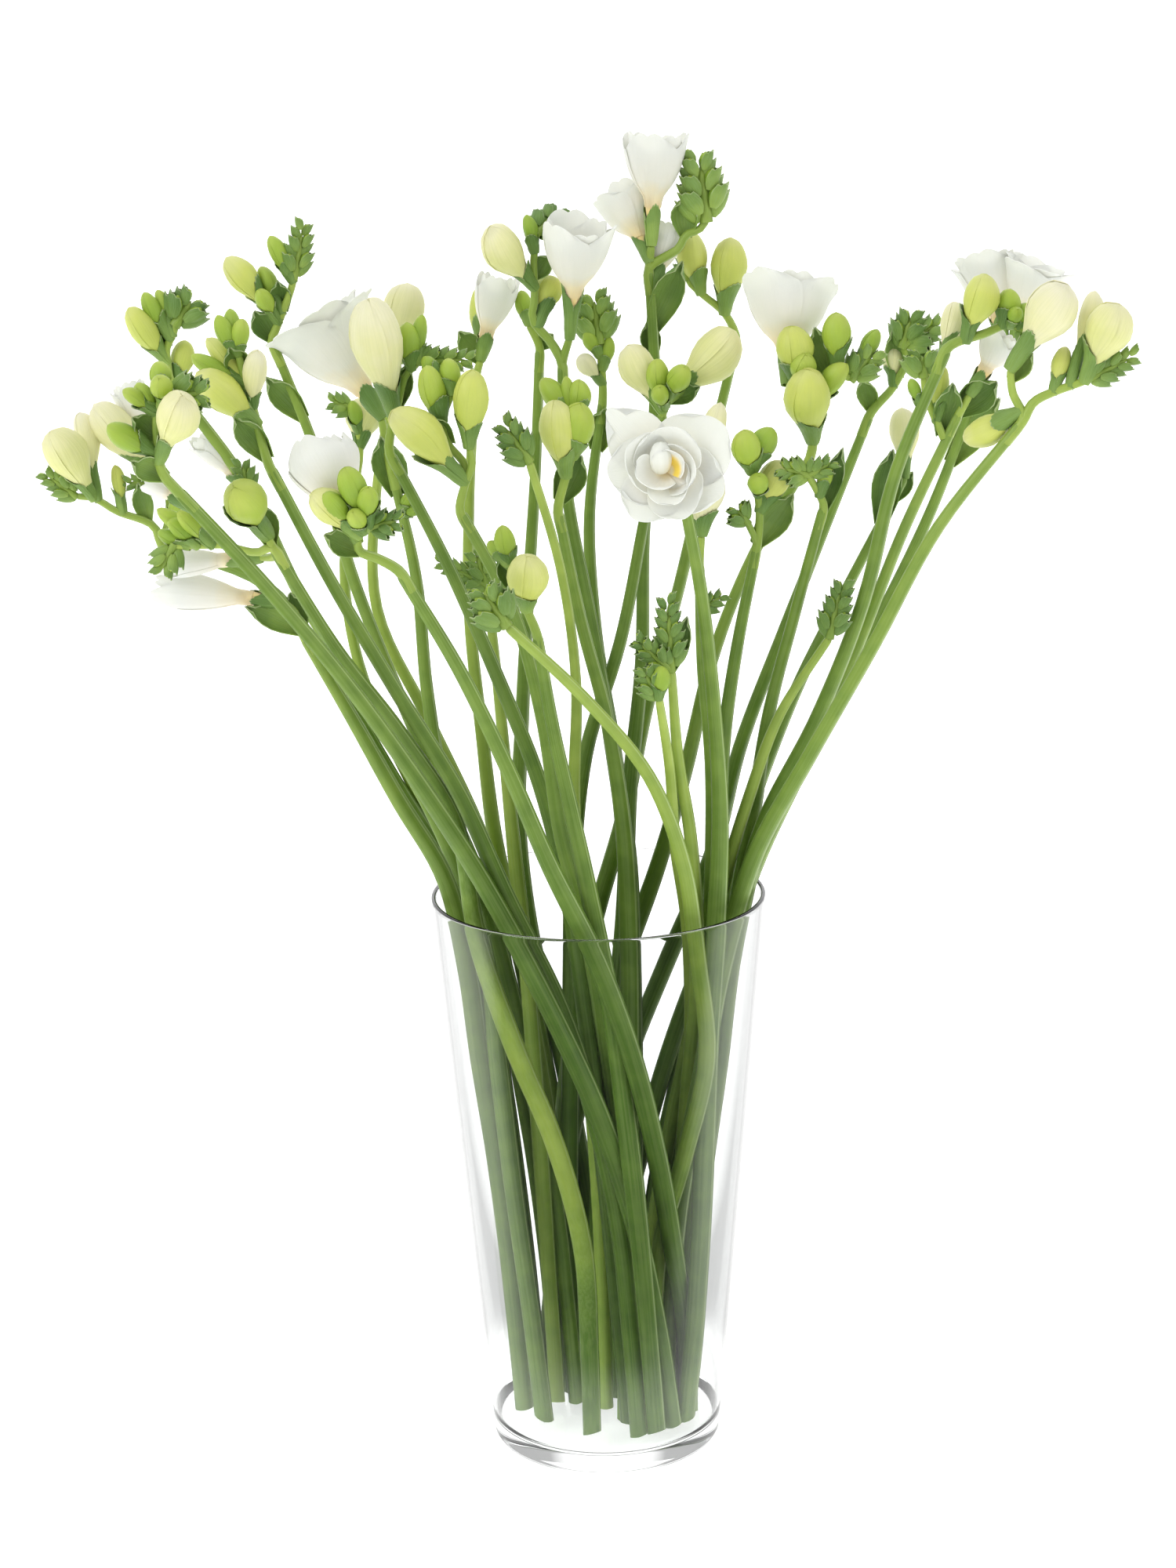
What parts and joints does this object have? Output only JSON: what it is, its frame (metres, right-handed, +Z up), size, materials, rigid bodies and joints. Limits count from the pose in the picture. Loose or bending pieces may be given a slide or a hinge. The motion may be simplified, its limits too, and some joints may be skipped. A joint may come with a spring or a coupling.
{
  "type": "white freesia bouquet in a glass vase",
  "caption": "Cut white freesias, in bud and in bloom, spreading like a fan from a tall tapered clear glass vase with a thick flat base.",
  "frame": {"origin": "the middle of the vase's flat underside", "axes": "+Z up along the vase, +X to the right as seen from the front, +Y away from the viewer"},
  "size_m": [0.4159, 0.1829, 0.5225],
  "materials": {
    "glass": "clear, smooth, thick at the foot",
    "stems": "satin living green, finely ridged",
    "petals": "soft satin white petals, yellow at the throat"
  },
  "bodies": {
    "root": {"vase": "glass", "stem_01": "stems", "bloom_01_a": "petals", "bloom_01_b": "petals", "stem_02": "stems", "bloom_02_a": "petals", "stem_03": "stems", "bloom_03_a": "petals", "stem_04": "stems", "bloom_04_a": "petals", "stem_05": "stems", "stem_06": "stems", "stem_07": "stems", "stem_08": "stems", "bloom_08_a": "petals", "stem_09": "stems", "bloom_09_a": "petals", "stem_10": "stems", "bloom_10_a": "petals", "stem_11": "stems", "stem_12": "stems", "stem_13": "stems", "bloom_13_a": "petals", "stem_14": "stems", "stem_15": "stems", "stem_16": "stems", "stem_17": "stems", "stem_18": "stems", "stem_19": "stems", "stem_20": "stems", "bloom_20_a": "petals", "bloom_20_b": "petals", "stem_21": "stems", "stem_22": "stems", "bloom_22_a": "petals", "stem_23": "stems", "bloom_23_a": "petals", "stem_24": "stems", "bloom_24_a": "petals", "stem_25": "stems", "stem_26": "stems", "stem_27": "stems", "stem_28": "stems", "stem_29": "stems", "stem_30": "stems", "stem_31": "stems", "bloom_31_a": "petals", "stem_32": "stems", "stem_33": "stems", "stem_34": "stems", "stem_35": "stems", "bloom_35_a": "petals", "bloom_35_b": "petals", "stem_36": "stems", "bloom_36_a": "petals", "stem_37": "stems", "bloom_37_a": "petals", "bloom_37_b": "petals", "stem_38": "stems", "stem_39": "stems"}
  },
  "joints": []
}
